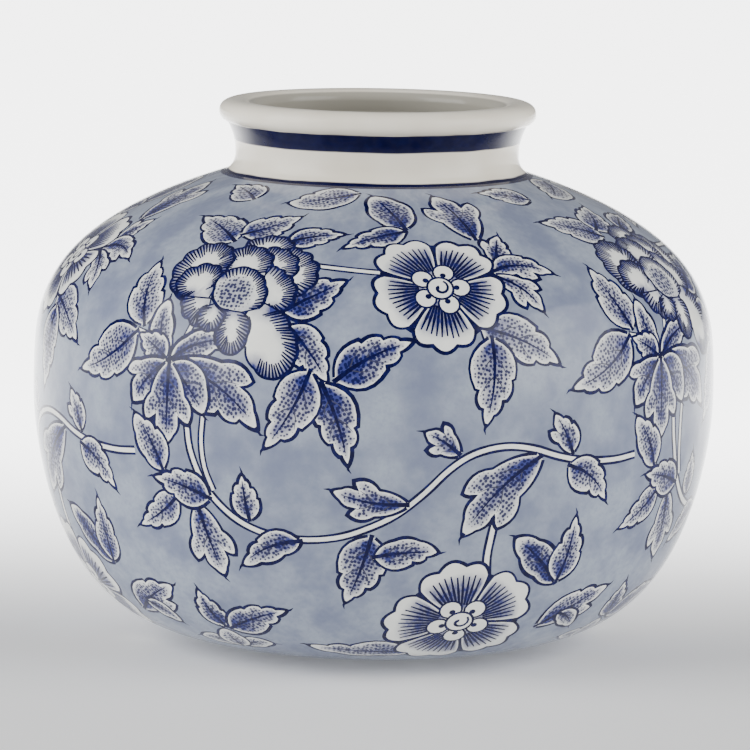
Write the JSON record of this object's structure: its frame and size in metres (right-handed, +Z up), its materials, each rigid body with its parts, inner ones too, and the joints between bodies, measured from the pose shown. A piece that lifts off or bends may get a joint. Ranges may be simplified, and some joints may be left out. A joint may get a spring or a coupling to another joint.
{
  "type": "porcelain vase",
  "caption": "Squat round-bellied porcelain vase with a short flared neck and a rolled lip, painted blue on white, standing on a low unglazed foot ring.",
  "frame": {"origin": "on the vase's axis, in the plane that the foot ring stands on", "axes": "+Z up along the vase's axis, towards the mouth; +X to the right and -Y towards the viewer, facing the side that the peony and the blossom share"},
  "size_m": [0.25, 0.25, 0.198],
  "materials": {
    "painted_glaze": "pale blue-grey wash with cobalt painting under a clear glossy glaze",
    "white_glaze": "warm white glossy glaze",
    "biscuit": "bare unglazed porcelain, matt"
  },
  "bodies": {
    "root": {"lower_bowl": "painted_glaze", "upper_shoulder": "painted_glaze", "neck_collar": "white_glaze", "lip_ring": "white_glaze", "foot_ring": "biscuit", "base_floor": "white_glaze"}
  },
  "joints": []
}
